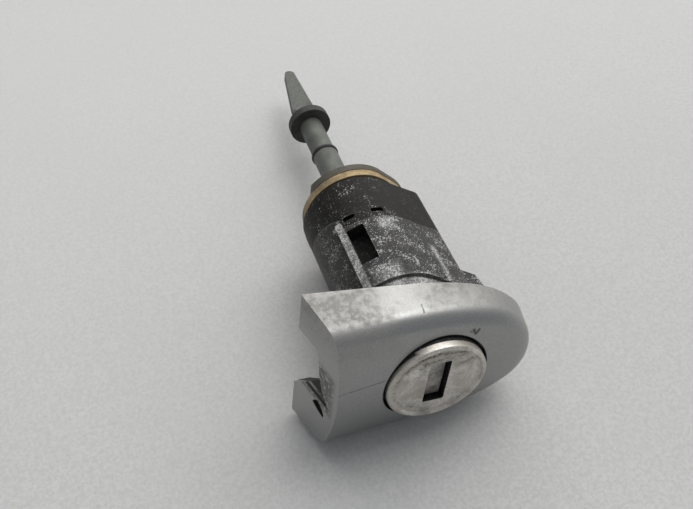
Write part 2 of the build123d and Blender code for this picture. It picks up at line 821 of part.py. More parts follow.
# Tail shaft: driver, hub and boss in the lock, then the neck and the flattened blade
with BuildPart() as tail_shaft:
    with BuildSketch():
        with BuildLine():
            Polyline(
                (0, driver_front),
                (driver_radius, driver_front),
                (driver_radius, driver_back),
                (hub_radius, driver_back),
                (hub_radius, hub_back),
                (boss_radius, hub_back),
                (boss_radius, boss_back),
                (neck_radius, cone_back),
                (neck_radius, neck_back),
                (shaft_radius, neck_back),
                (shaft_radius, shaft_back),
                (0, shaft_back),
                close=True,
            )
        make_face()
    revolve(axis=Axis.Y)
    add(tube(o_ring_middle - ring_groove_width / 2, o_ring_middle + ring_groove_width / 2,
             shaft_radius + beyond, o_ring_inner - seat_gap), mode=Mode.SUBTRACT)
    add(tube(disc_front - slide_gap, disc_front + disc_thickness + slide_gap,
             shaft_radius + beyond, disc_inner - seat_gap), mode=Mode.SUBTRACT)
    add(clip_groove(rear_clip_front, boss_radius), mode=Mode.SUBTRACT)
    add(block((-tongue_width / 2 - slide_gap, tongue_width / 2 + slide_gap),
              (driver_front - overlap, driver_front + driver_slot_depth),
              (-tongue_height / 2 - slide_gap, tongue_height / 2 + slide_gap)),
        mode=Mode.SUBTRACT)
    with BuildSketch(section(driver_back)):
        with Locations(*around((spring_leg_angle,), return_mean_radius)):
            Rectangle(2 * (return_wire + seat_gap), 2 * (return_wire + seat_gap))
    extrude(amount=spring_leg, mode=Mode.SUBTRACT)
    add(tail_blade())

save(tail_shaft.part, "tail_shaft")

save(circlip(rear_clip_front, boss_radius), "rear_circlip")

with BuildPart() as shaft_o_ring:
    with BuildSketch():
        with Locations((o_ring_inner + o_ring_radius, o_ring_middle)):
            Circle(o_ring_radius)
    revolve(axis=Axis.Y)

save(shaft_o_ring.part, "shaft_o_ring")

save(tube(disc_front, disc_front + disc_thickness, disc_radius, disc_inner), "shaft_disc")

# Return spring round the hub, with a leg in the driver and a leg in the collar's floor
with BuildPart() as return_spring:
    add(coil((0, spring_start, 0), (0, 1, 0), return_mean_radius, return_pitch, return_turns,
             2 * return_wire))
    with BuildSketch(section(spring_start)):
        with Locations(*around((spring_leg_angle,), return_mean_radius)):
            Rectangle(2 * return_wire, 2 * return_wire)
    extrude(amount=spring_start - driver_back + spring_leg - seat_gap)
    with BuildSketch(section(spring_start + spring_height)):
        with Locations(*around((spring_leg_angle,), return_mean_radius)):
            Rectangle(2 * return_wire, 2 * return_wire)
    extrude(amount=-(collar_inside_back + spring_leg - spring_start - spring_height))

save(return_spring.part, "return_spring")
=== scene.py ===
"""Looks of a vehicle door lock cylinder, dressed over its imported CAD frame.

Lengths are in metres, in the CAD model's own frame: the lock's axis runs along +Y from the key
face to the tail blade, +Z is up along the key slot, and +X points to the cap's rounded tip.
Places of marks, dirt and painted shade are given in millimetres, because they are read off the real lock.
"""

import json
import logging
import math
from dataclasses import dataclass, field
from enum import Enum
from functools import cached_property, partialmethod, reduce

import bmesh
import bpy
from bpy.types import ID, Material, Mesh, Node, NodeOutputs, NodeTree, Object
from bpy.types import NodeSocket as Socket
from mathutils import Matrix, Vector


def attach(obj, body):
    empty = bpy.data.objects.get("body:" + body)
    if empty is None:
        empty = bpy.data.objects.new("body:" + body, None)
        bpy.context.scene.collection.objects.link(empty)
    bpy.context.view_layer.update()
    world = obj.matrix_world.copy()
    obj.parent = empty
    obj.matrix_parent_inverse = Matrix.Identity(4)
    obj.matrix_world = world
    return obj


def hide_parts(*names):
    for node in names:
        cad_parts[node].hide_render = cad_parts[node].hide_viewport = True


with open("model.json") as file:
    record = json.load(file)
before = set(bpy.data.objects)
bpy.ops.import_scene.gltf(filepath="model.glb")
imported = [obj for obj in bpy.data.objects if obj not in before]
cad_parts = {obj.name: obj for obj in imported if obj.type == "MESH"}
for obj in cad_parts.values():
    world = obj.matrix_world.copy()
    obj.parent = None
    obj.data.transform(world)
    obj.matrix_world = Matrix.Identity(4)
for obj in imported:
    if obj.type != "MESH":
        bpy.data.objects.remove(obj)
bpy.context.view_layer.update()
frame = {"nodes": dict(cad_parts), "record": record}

MM = 0.001
WELD = 2e-7
END_SLANT = 15.6
log = logging.getLogger("door_lock_cylinder")

Colour = Point = tuple[float, float, float]
Riders = tuple[tuple[str, str], ...]
Value = Socket | float
Tint = Socket | Colour


class Side(Enum):
    """Which way a surface patch faces, for dirt and corrosion that favour one side."""

    TOP = (0.0, 0.0, 1.0)
    REAR = (0.0, 1.0, 0.0)


def in_metres(point: Point) -> Point:
    """Turn a point in millimetres into metres."""
    return tuple(value * MM for value in point)


def shaded(colour: Colour, share: float) -> Colour:
    """Darken a colour to a share of itself, or brighten it up to white."""
    return tuple(min(1.0, part * share) for part in colour)


def shown(name: str, thing: ID) -> Object:
    """Put a mesh, lamp or camera into the scene at the origin.

    Args:
        name: The object's name.
        thing: Its data.

    Returns:
        The object.
    """
    made = bpy.data.objects.new(name, thing)
    bpy.context.scene.collection.objects.link(made)
    return made


class Wiring:
    """Places the nodes of one tree and joins their sockets."""

    ACROSS, DOWN, ROWS = 190, 120, 3

    def __init__(self, tree: NodeTree) -> None:
        """Take over a shader or geometry tree, and start at its left side."""
        self.tree = tree
        self.column = 0

    def node(self, kind: str, inputs: dict | None = None, **settings) -> Node:
        """Add a node, with its settings and input values.

        Args:
            kind: The node's type name.
            inputs: Socket name or number to a value or to another node's output.
            **settings: Attributes of the node.

        Returns:
            The new node.
        """
        made = self.tree.nodes.new(kind)
        made.location = (self.column * self.ACROSS, -(self.column % self.ROWS) * self.DOWN)
        self.column += 1
        for name, value in settings.items():
            setattr(made, name, value)
        for name, value in (inputs or {}).items():
            socket = made.inputs[name]
            if isinstance(value, Socket):
                self.tree.links.new(value, socket)
            elif socket.type == "RGBA":
                socket.default_value = (*value, 1.0)
            else:
                socket.default_value = value
        return made

    def place(self) -> Socket:
        """Give the place on the object, in metres."""
        return self.node("ShaderNodeTexCoord").outputs["Object"]

    def split(self, vector: Socket) -> NodeOutputs:
        """Split a vector into its three numbers."""
        return self.node("ShaderNodeSeparateXYZ", {0: vector}).outputs

    def noise(self, scale: Value, detail: float, roughness: float = 0.5, distortion: float = 0.0,
              seed: Socket | None = None) -> NodeOutputs:
        """Place noise over the object.

        Args:
            scale: Its fineness.
            detail: How many finer layers it has.
            roughness: How strong the finer layers are.
            distortion: How much it is stirred.
            seed: Which of many patterns it shows, or None for the plain one.

        Returns:
            The noise's outputs, Fac and Color.
        """
        inputs = {"Vector": self.place(), "Scale": scale, "Detail": detail, "Roughness": roughness,
                  "Distortion": distortion}
        if seed is None:
            return self.node("ShaderNodeTexNoise", inputs).outputs
        return self.node("ShaderNodeTexNoise", {**inputs, "W": seed}, noise_dimensions="4D").outputs

    def maths(self, operation: str, first: Value, second: Value = 0.0, clamp: bool = False) -> Socket:
        """Combine two numbers by a Math node's operation, held between 0 and 1 if clamped."""
        return self.node("ShaderNodeMath", {0: first, 1: second},
                         operation=operation, use_clamp=clamp).outputs[0]

    times = partialmethod(maths, "MULTIPLY")
    plus = partialmethod(maths, "ADD")
    minus = partialmethod(maths, "SUBTRACT")
    over = partialmethod(maths, "DIVIDE")
    most = partialmethod(maths, "MAXIMUM")

    def least(self, *values: Socket) -> Socket:
        """Take the smallest of several numbers."""
        return reduce(lambda first, second: self.maths("MINIMUM", first, second), values)

    def vector(self, operation: str, first: Socket, second: Socket | Point | None = None) -> Socket:
        """Combine two vectors.

        Args:
            operation: Name of the Vector Math node's operation.
            first: The first vector.
            second: The second vector, or the factor of a SCALE.

        Returns:
            The resulting vector, or the number for a dot product, a distance or a length.
        """
        inputs = {0: first}
        if second is not None:
            inputs["Scale" if operation == "SCALE" else 1] = second
        result = "Value" if operation in ("DOT_PRODUCT", "DISTANCE", "LENGTH") else "Vector"
        return self.node("ShaderNodeVectorMath", inputs, operation=operation).outputs[result]

    def spread(self, value: Socket, low: float, high: float, to_low: float = 0.0,
               to_high: float = 1.0) -> Socket:
        """Map the range from low to high to the range from to_low to to_high, smoothly and clamped."""
        return self.node("ShaderNodeMapRange", {
            "Value": value, "From Min": low, "From Max": high,
            "To Min": to_low, "To Max": to_high}, interpolation_type="SMOOTHSTEP").outputs["Result"]

    def blend(self, mask: Value, first: Tint, second: Tint) -> Socket:
        """Mix two colours: a mask of 0 gives the first, and 1 the second."""
        return self.node("ShaderNodeMix", {0: mask, 6: first, 7: second},
                         data_type="RGBA", blend_type="MIX").outputs[2]

    def end(self, result: Node, **values: Socket) -> NodeTree:
        """Feed the results of a group.

        Args:
            result: The group's output node.
            **values: Output name to the socket that feeds it.

        Returns:
            The finished tree.
        """
        for name, value in values.items():
            self.tree.links.new(value, result.inputs[name])
        return self.tree


class Effects:
    """Shader groups that several finishes share, each built at its first use."""

    @staticmethod
    def _open(name: str, *results: str,
              **inputs: float | Point) -> tuple[Wiring, NodeOutputs, Node]:
        """Start a group with its sockets.

        Args:
            name: The group's name.
            *results: Names of the numbers that it puts out.
            **inputs: Input name to its default, a number or a vector.

        Returns:
            The wiring, the group's inputs and its output node.
        """
        tree = bpy.data.node_groups.new(name, "ShaderNodeTree")
        for label, value in inputs.items():
            kind = "NodeSocketVector" if isinstance(value, tuple) else "NodeSocketFloat"
            tree.interface.new_socket(name=label, in_out="INPUT", socket_type=kind).default_value = value
        for label in results:
            tree.interface.new_socket(name=label, in_out="OUTPUT", socket_type="NodeSocketFloat")
        w = Wiring(tree)
        return w, w.node("NodeGroupInput").outputs, w.node("NodeGroupOutput")

    @cached_property
    def grain(self) -> NodeTree:
        """Fine even grain of a casting, a paint or a rubber.

        Returns:
            A group with a value round 0.5.
        """
        w, given, result = self._open("Surface grain", "Value", Scale=2000.0, Roughness=0.6)
        return w.end(result, Value=w.noise(given["Scale"], 3.0, given["Roughness"])["Fac"])

    @cached_property
    def patches(self) -> NodeTree:
        """Cloudy patches of dirt or film with ragged edges.

        Returns:
            A group with a mask. Cover 0 gives none and 1 gives all.
        """
        w, given, result = self._open("Dirt patches", "Mask", Scale=120.0, Cover=0.4, Softness=0.12, Seed=0.0)
        cloud = w.noise(given["Scale"], 7.0, 0.62, 0.4, given["Seed"])["Fac"]
        bare_level, cover_span = 0.78, 0.56
        above = w.minus(cloud, w.minus(bare_level, w.times(given["Cover"], cover_span)))
        return w.end(result, Mask=w.plus(w.over(above, given["Softness"]), 0.5, clamp=True))

    @cached_property
    def specks(self) -> NodeTree:
        """Crusty specks of corrosion in several sizes.

        Returns:
            A group with a mask of the specks and their height.
        """
        w, given, result = self._open("Corrosion specks", "Mask", "Height", Scale=900.0, Cover=0.4, Seed=0.0)
        broad_scale, fine_scale, bare_level, cover_span = 0.11, 1.1, 0.72, 0.5
        clumping, raggedness, roundness, rim = 1.1, 2.1, 0.55, 0.16
        broad = w.noise(w.times(given["Scale"], broad_scale), 3.0, 0.6, seed=given["Seed"])["Fac"]
        fine = w.noise(w.times(given["Scale"], fine_scale), 6.0, 0.75, seed=given["Seed"])["Fac"]
        cells = w.node("ShaderNodeTexVoronoi", {
            "Vector": w.place(), "W": given["Seed"], "Scale": given["Scale"]},
            voronoi_dimensions="4D").outputs["Distance"]
        size = w.times(w.minus(broad, w.minus(bare_level, w.times(given["Cover"], cover_span))), clumping)
        rough = w.times(w.minus(fine, 0.5), raggedness)
        lift = w.minus(w.plus(size, rough), w.times(cells, roundness))
        return w.end(result, Mask=w.spread(lift, 0.0, rim), Height=w.most(lift, 0.0, clamp=True))

    @cached_property
    def line_mark(self) -> NodeTree:
        """A scratch or a streak along a straight run between two points.

        Returns:
            A group with a mask that is 1 on the line and fades to its width.
        """
        w, given, result = self._open(
            "Line mark", "Mask", Width=0.0002, Wobble=0.0002, Start=(0.0, 0.0, 0.0), End=(0.01, 0.0, 0.0))
        stir = w.vector("SUBTRACT", w.noise(700.0, 3.0)["Color"], (0.5, 0.5, 0.5))
        here = w.vector("ADD", w.place(), w.vector("SCALE", stir, given["Wobble"]))
        run = w.vector("SUBTRACT", given["End"], given["Start"])
        away = w.vector("SUBTRACT", here, given["Start"])
        share = w.over(w.vector("DOT_PRODUCT", away, run),
                       w.vector("DOT_PRODUCT", run, run), clamp=True)
        gap = w.vector("DISTANCE", away, w.vector("SCALE", run, share))
        return w.end(result, Mask=w.minus(1.0, w.over(gap, given["Width"]), clamp=True))

    @cached_property
    def facing(self) -> NodeTree:
        """How much a surface faces one way.

        Returns:
            A group with a mask that is 1 where the surface faces that way.
        """
        w, given, result = self._open("Facing", "Mask", From=0.2, To=0.8, Direction=(0.0, 0.0, 1.0))
        normal = w.node("ShaderNodeNewGeometry").outputs["Normal"]
        turned = w.vector("DOT_PRODUCT", normal, given["Direction"])
        span = w.minus(given["To"], given["From"])
        return w.end(result, Mask=w.over(w.minus(turned, given["From"]), span, clamp=True))

    @cached_property
    def edges(self) -> NodeTree:
        """Where an edge is near, broken up as rubbed edges are.

        Returns:
            A group with a mask that is 1 on worn edges.
        """
        w, given, result = self._open("Edge wear", "Mask", Radius=0.0003, Amount=1.0, Breaks=0.5)
        bevel = w.node("ShaderNodeBevel", {"Radius": given["Radius"]}, samples=4)
        normal = w.node("ShaderNodeNewGeometry").outputs["Normal"]
        same = w.vector("DOT_PRODUCT", bevel.outputs[0], normal)
        noise = w.noise(500.0, 5.0)["Fac"]
        least_turn, sharpness, break_strength = 0.06, 12.0, 1.6
        turn = w.most(w.minus(w.minus(1.0, same), least_turn), 0.0)
        worn = w.times(turn, w.times(given["Amount"], sharpness))
        kept = w.minus(1.0, w.times(noise, w.times(given["Breaks"], break_strength)))
        return w.end(result, Mask=w.times(worn, kept, clamp=True))

    @cached_property
    def zone(self) -> NodeTree:
        """A box of space for marks, dirt and painted shade that lie in one place.

        Returns:
            A group with a mask that is 1 inside the box.
        """
        w, given, result = self._open(
            "Box zone", "Mask", Softness=0.0002,
            Low=(0.0, 0.0, 0.0), High=(0.01, 0.01, 0.01), Turn=(0.0, 0.0, 0.0))
        turned = w.node("ShaderNodeVectorRotate", {"Vector": w.place(), "Rotation": given["Turn"]},
                        rotation_type="EULER_XYZ").outputs[0]
        inside = w.vector("MINIMUM", w.vector("SUBTRACT", turned, given["Low"]),
                          w.vector("SUBTRACT", given["High"], turned))
        depth = w.least(*w.split(inside))
        return w.end(result, Mask=w.plus(w.over(depth, given["Softness"]), 0.5, clamp=True))

    @cached_property
    def round_zone(self) -> NodeTree:
        """A ring of space round the lock's axis.

        Returns:
            A group with a mask that is 1 inside the ring.
        """
        w, given, result = self._open(
            "Round zone", "Mask", Inner=0.0, Outer=0.01, Front=0.0, Back=0.01, Softness=0.0002)
        across, along, up = w.split(w.place())
        reach = w.vector("LENGTH", w.node("ShaderNodeCombineXYZ", {0: across, 2: up}).outputs[0])
        depth = w.least(w.minus(reach, given["Inner"]), w.minus(given["Outer"], reach),
                        w.minus(along, given["Front"]), w.minus(given["Back"], along))
        return w.end(result, Mask=w.plus(w.over(depth, given["Softness"]), 0.5, clamp=True))


class Coat(Wiring):
    """One material: its surface shader, and the shared effects placed in it."""

    def __init__(self, name: str, values: dict, effects: Effects | None = None) -> None:
        """Make the material with its surface shader.

        Args:
            name: The material's name.
            values: Input name of the surface shader to its plain value.
            effects: The shared shader groups, where the material uses them.
        """
        self.material = bpy.data.materials.new(name)
        self.material.use_nodes = True
        super().__init__(self.material.node_tree)
        self.tree.nodes.clear()
        self.effects = effects
        self.surface = self.node("ShaderNodeBsdfPrincipled", values)
        self.node("ShaderNodeOutputMaterial", {0: self.surface.outputs[0]})

    def feed(self, label: str, value: Value | Colour) -> None:
        """Feed a socket to the surface shader; a plain value stays on the shader itself."""
        if isinstance(value, Socket):
            self.tree.links.new(value, self.surface.inputs[label])

    def relief(self, height: Socket, strength: float, distance: float) -> None:
        """Give the surface its bump.

        Args:
            height: Height over the surface.
            strength: Strength of the bump.
            distance: Height in metres that 1 stands for.
        """
        bump = self.node("ShaderNodeBump", {"Strength": strength, "Distance": distance, "Height": height})
        self.feed("Normal", bump.outputs[0])

    def group(self, tree: NodeTree, **inputs: Value | Point) -> NodeOutputs:
        """Place a shared effect with its own values, and give its outputs."""
        return self.node("ShaderNodeGroup", inputs, node_tree=tree).outputs

    def grain(self, scale: float, roughness: float) -> Socket:
        """Place fine grain."""
        return self.group(self.effects.grain, Scale=scale, Roughness=roughness)["Value"]

    def patches(self, scale: float, cover: float, softness: float, seed: float) -> Socket:
        """Place cloudy patches."""
        return self.group(self.effects.patches, Scale=scale, Cover=cover,
                          Softness=softness, Seed=seed)["Mask"]

    def specks(self, scale: float, cover: Value, seed: float) -> NodeOutputs:
        """Place corrosion specks, with their Mask and their Height."""
        return self.group(self.effects.specks, Scale=scale, Cover=cover, Seed=seed)

    def facing(self, side: Side, start: float, full: float) -> Socket:
        """Find where the surface faces one side, from a start to the full mask."""
        return self.group(self.effects.facing, Direction=side.value, From=start, To=full)["Mask"]

    def edges(self, radius: float, amount: float, breaks: float) -> Socket:
        """Find worn edges within a radius in metres."""
        return self.group(self.effects.edges, Radius=radius, Amount=amount, Breaks=breaks)["Mask"]

    def gathered(self, places: tuple) -> Value:
        """Join the masks of several boxes, rings or marks, or give 0 where there are none."""
        return reduce(lambda joined, place: self.most(place.mask(self), joined), places, 0.0)


@dataclass(frozen=True)
class Box:
    """A box of space in millimetres, turned about the lock's axis or about Z by degrees."""

    low: Point
    high: Point
    about_axis: float = 0.0
    about_up: float = 0.0
    softness: float = 0.15

    def mask(self, w: Coat) -> Socket:
        """Place the box in a material, as a mask that is 1 inside it."""
        turn = (0.0, math.radians(self.about_axis), math.radians(self.about_up))
        return w.group(w.effects.zone, Low=in_metres(self.low), High=in_metres(self.high), Turn=turn,
                       Softness=self.softness * MM)["Mask"]


@dataclass(frozen=True)
class Ring:
    """A ring of space round the lock's axis, in millimetres."""

    inner: float
    outer: float
    front: float
    back: float
    softness: float = 0.15

    def mask(self, w: Coat) -> Socket:
        """Place the ring in a material, as a mask that is 1 inside it."""
        return w.group(w.effects.round_zone, Inner=self.inner * MM, Outer=self.outer * MM,
                       Front=self.front * MM, Back=self.back * MM, Softness=self.softness * MM)["Mask"]


@dataclass(frozen=True)
class Mark:
    """A scratch, nick or streak: its ends and half width in millimetres, and how dark it is."""

    start: Point
    end: Point
    width: float
    wobble: float = 0.2
    depth: float = 0.8

    def mask(self, w: Coat) -> Socket:
        """Place the mark in a material, as a mask that fades to its sides."""
        line = w.group(w.effects.line_mark, Start=in_metres(self.start), End=in_metres(self.end),
                       Width=self.width * MM, Wobble=self.wobble * MM)["Mask"]
        return w.times(line, self.depth)


@dataclass(frozen=True)
class Finish:
    """A surface finish: its material slot in the record and its plain values."""

    name: str
    slot: str
    colour: Colour
    metallic: float = 0.0
    roughness: float = 0.5
    gloss: float = 0.5
    # Painted shade in recesses and gaps: the places that are darkened, their near-black colour with lighter
    # flecks, and its roughness.
    painted_shade_places: tuple = ()
    black: Colour = (0.010, 0.0095, 0.009)
    painted_shade_fleck: Colour = (0.14, 0.135, 0.13)
    painted_shade_roughness: float = 0.75

    def build(self, effects: Effects) -> Material:
        """Make the material.

        Args:
            effects: The shared shader groups.

        Returns:
            The material.
        """
        w = Coat(self.name, {"Base Color": self.colour, "Metallic": self.metallic,
                             "Roughness": self.roughness, "Specular IOR Level": self.gloss}, effects)
        self.dress(w)
        return w.material

    def dress(self, w: Coat) -> None:
        """Wire the surface; each kind of finish has its own way."""
        raise NotImplementedError

    def finish(self, w: Coat, colour: Socket, metal: Value, rough: Value) -> None:
        """Paint shade into recesses and gaps, near black with lighter flecks, and feed the surface.

        Args:
            w: The material's wiring.
            colour: The surface's colour.
            metal: How metallic it is.
            rough: Its roughness.
        """
        # Painted shade: recesses and gaps in these places are darkened to near black with lighter flecks, and
        # made less metallic and rougher.
        if self.painted_shade_places:
            darkening = w.gathered(self.painted_shade_places)
            flecks = w.patches(scale=1500.0, cover=0.3, softness=0.1, seed=11.0)
            colour = w.blend(darkening, colour, w.blend(w.times(flecks, 0.5), self.black, self.painted_shade_fleck))
            metal = w.times(metal, w.minus(1.0, darkening), clamp=True)
            rough = w.most(rough, w.times(darkening, self.painted_shade_roughness), clamp=True)
        for label, value in (("Base Color", colour), ("Metallic", metal), ("Roughness", rough)):
            w.feed(label, value)


@dataclass(frozen=True)
class SatinSilverPaint(Finish):
    """Silver paint of the cap, with brown dirt on its upper side, a scratch and nicks."""

    flake: Colour = (0.62, 0.62, 0.61)
    dirt: Colour = (0.115, 0.088, 0.055)
    speck: Colour = (0.10, 0.09, 0.08)
    unpainted: Colour = (0.12, 0.11, 0.095)
    bare_edge: Colour = (0.60, 0.58, 0.54)
    chipped: Colour = (0.03, 0.026, 0.02)
    marks: tuple[Mark, ...] = ()
    smears: tuple[Box, ...] = ()
    flecked: tuple[Box, ...] = ()
    dirt_strength: float = 0.36
    speck_strength: float = 0.5
    back_strength: float = 0.6
    rubbed: float = 0.35

    def dress(self, w: Coat) -> None:
        """Wire the paint, its dirt and its marks.

        Args:
            w: The material's wiring.
        """
        grain = w.grain(scale=5200.0, roughness=0.7)
        wide = w.patches(scale=45.0, cover=0.55, softness=0.5, seed=3.0)
        film = w.blend(w.times(wide, 0.4), self.colour, shaded(self.colour, 0.84))
        flakes = w.blend(w.spread(grain, 0.42, 0.66, 0.0, 0.25), film, self.flake)
        top = w.facing(Side.TOP, 0.55, 0.95)
        spots = w.patches(scale=900.0, cover=0.4, softness=0.2, seed=1.0)
        haze = w.patches(scale=170.0, cover=0.5, softness=0.6, seed=6.0)
        smear = w.gathered(self.smears)
        layer = w.plus(w.times(top, w.times(haze, 0.45)), w.times(smear, w.plus(haze, 0.35)))
        darkening = w.times(layer, w.plus(w.times(spots, 0.6), 0.5), clamp=True)
        specks = w.specks(scale=1900.0, cover=0.12, seed=5.0)["Mask"]
        dirty = w.blend(w.times(darkening, self.dirt_strength), flakes, self.dirt)
        speckled = w.blend(w.times(specks, self.speck_strength), dirty, self.speck)
        inside = w.facing(Side.REAR, 0.3, 0.8)
        back = w.blend(w.times(inside, self.back_strength), speckled, self.unpainted)
        edge = w.edges(radius=0.0003, amount=0.5, breaks=0.5)
        rubbed = w.blend(w.times(edge, self.rubbed), back, self.bare_edge)
        flecks = w.patches(scale=1500.0, cover=0.6, softness=0.05, seed=13.0)
        marks = w.most(w.gathered(self.marks), w.times(w.gathered(self.flecked), flecks))
        marked = w.blend(marks, rubbed, self.chipped)
        spoilt = w.most(w.most(darkening, marks), w.times(inside, 0.5))
        rough = w.plus(w.spread(wide, 0.0, 1.0, self.roughness, self.roughness + 0.07),
                       w.times(spoilt, 0.3), clamp=True)
        metal = w.minus(self.metallic, w.times(spoilt, 0.6), clamp=True)
        self.finish(w, marked, metal, rough)
        w.relief(w.minus(w.times(grain, 0.12), marks), strength=0.35, distance=0.00012)


@dataclass(frozen=True)
class CorrodedCasting(Finish):
    """Dark zinc casting with a pale crust of corrosion specks, thickest where it faces up."""

    crust: Colour = (0.68, 0.685, 0.67)
    cover: float = 0.5
    stain: Colour = (0.05, 0.043, 0.034)
    pale_places: tuple = ()
    smooth_places: tuple = ()
    stain_strength: float = 0.75
    crust_strength: float = 0.85
    powder_strength: float = 0.3
    rubbed: float = 0.4
    crusted: Box = Box((-30.0, 5.0, 2.0), (30.0, 60.0, 30.0), softness=6.0)

    def dress(self, w: Coat) -> None:
        """Wire the casting skin and the corrosion on it.

        Args:
            w: The material's wiring.
        """
        grain = w.grain(scale=2200.0, roughness=0.8)
        tone = w.blend(w.spread(grain, 0.36, 0.64), shaded(self.colour, 0.3), shaded(self.colour, 1.7))
        stains = w.patches(scale=130.0, cover=0.5, softness=0.3, seed=2.0)
        stained = w.blend(w.times(stains, self.stain_strength), tone, self.stain)
        top = w.facing(Side.TOP, -0.1, 0.85)
        pale = w.gathered(self.pale_places)
        kept = w.minus(1.0, w.times(w.gathered(self.smooth_places), 0.9), clamp=True)
        reach = w.times(w.plus(w.times(top, 0.85), 0.15), kept, clamp=True)
        specks = w.specks(scale=3600.0, cover=w.plus(self.cover, w.times(pale, 0.35)), seed=4.0)
        crust = w.times(specks["Mask"], reach)
        dust = w.specks(scale=7000.0, cover=self.cover, seed=8.0)["Mask"]
        powder = w.times(dust, w.times(reach, self.powder_strength))
        mottle = w.plus(w.times(grain, 1.5), -0.3, clamp=True)
        # Pale places get a mottled pale bloom; on the neck behind the cap this is also painted light.
        bloomed = w.blend(w.times(pale, mottle), stained, shaded(self.crust, 0.48))
        powdered = w.blend(powder, bloomed, shaded(self.crust, 0.4))
        crusted = w.blend(w.times(crust, self.crust_strength), powdered, self.crust)
        edge = w.edges(radius=0.00025, amount=0.8, breaks=0.7)
        worn = w.blend(w.times(edge, self.rubbed), crusted, shaded(self.crust, 0.5))
        rough = w.plus(self.roughness, w.times(crust, 0.25), clamp=True)
        self.finish(w, worn, self.metallic, rough)
        lumps = w.times(specks["Height"], self.crusted.mask(w))
        w.relief(w.plus(w.times(grain, 0.35), lumps), strength=0.7, distance=0.00018)


@dataclass(frozen=True)
class FilmedMetal(Finish):
    """Bare metal under a worn film of dirt, with rubbed edges and dark lines; on the cover, part of the dark
    film and of the lines is painted shade.
    """

    film: Colour = (0.12, 0.098, 0.07)
    cover: float = 0.4
    patch_scale: float = 160.0
    film_strength: float = 0.6
    rubbed: float = 0.4
    dirty_places: tuple = ()
    streaks_and_painted_shade: tuple[Mark, ...] = ()

    def dress(self, w: Coat) -> None:
        """Wire the metal and the film on it.

        Args:
            w: The material's wiring.
        """
        grain = w.grain(scale=3800.0, roughness=0.7)
        base = w.blend(w.spread(grain, 0.35, 0.65), shaded(self.colour, 0.85), shaded(self.colour, 1.12))
        patches = w.patches(scale=self.patch_scale, cover=self.cover, softness=0.32, seed=5.0)
        fine = w.patches(scale=self.patch_scale * 6, cover=0.4, softness=0.12, seed=7.0)
        places = w.times(w.gathered(self.dirty_places), w.plus(w.times(fine, 0.5), 0.5))
        dirt = w.most(w.times(w.most(patches, places), self.film_strength),
                      w.times(fine, self.film_strength * 0.6))
        filmed = w.blend(dirt, base, self.film)
        edge = w.edges(radius=0.00022, amount=0.9, breaks=0.6)
        bright = w.blend(w.times(edge, self.rubbed), filmed, shaded(self.colour, 1.3))
        # Dark lines: dirt, and on the cover also a painted shade arc inside the rim.
        if self.streaks_and_painted_shade:
            lines = w.times(w.gathered(self.streaks_and_painted_shade), w.plus(w.times(fine, 0.6), 0.5), clamp=True)
            bright = w.blend(lines, bright, shaded(self.film, 0.3))
            dirt = w.most(dirt, lines)
        rough = w.plus(self.roughness, w.times(dirt, 0.3), clamp=True)
        metal = w.minus(self.metallic, w.times(dirt, 0.5), clamp=True)
        self.finish(w, bright, metal, rough)
        w.relief(w.plus(w.times(grain, 0.3), w.times(dirt, 0.4)), strength=0.35, distance=0.00006)


@dataclass(frozen=True)
class MattRubber(Finish):
    """Black rubber with a dusty bloom."""

    bloom: Colour = (0.075, 0.077, 0.07)
    bloom_strength: float = 0.5
    unevenness: float = 0.08

    def dress(self, w: Coat) -> None:
        """Wire the rubber and its bloom.

        Args:
            w: The material's wiring.
        """
        grain = w.grain(scale=2600.0, roughness=0.7)
        bloom = w.patches(scale=400.0, cover=0.45, softness=0.4, seed=9.0)
        dusty = w.blend(w.times(bloom, self.bloom_strength), self.colour, self.bloom)
        rough = w.spread(grain, 0.3, 0.7,
                         self.roughness - self.unevenness, self.roughness + self.unevenness)
        self.finish(w, dusty, self.metallic, rough)
        w.relief(grain, strength=0.3, distance=0.00005)


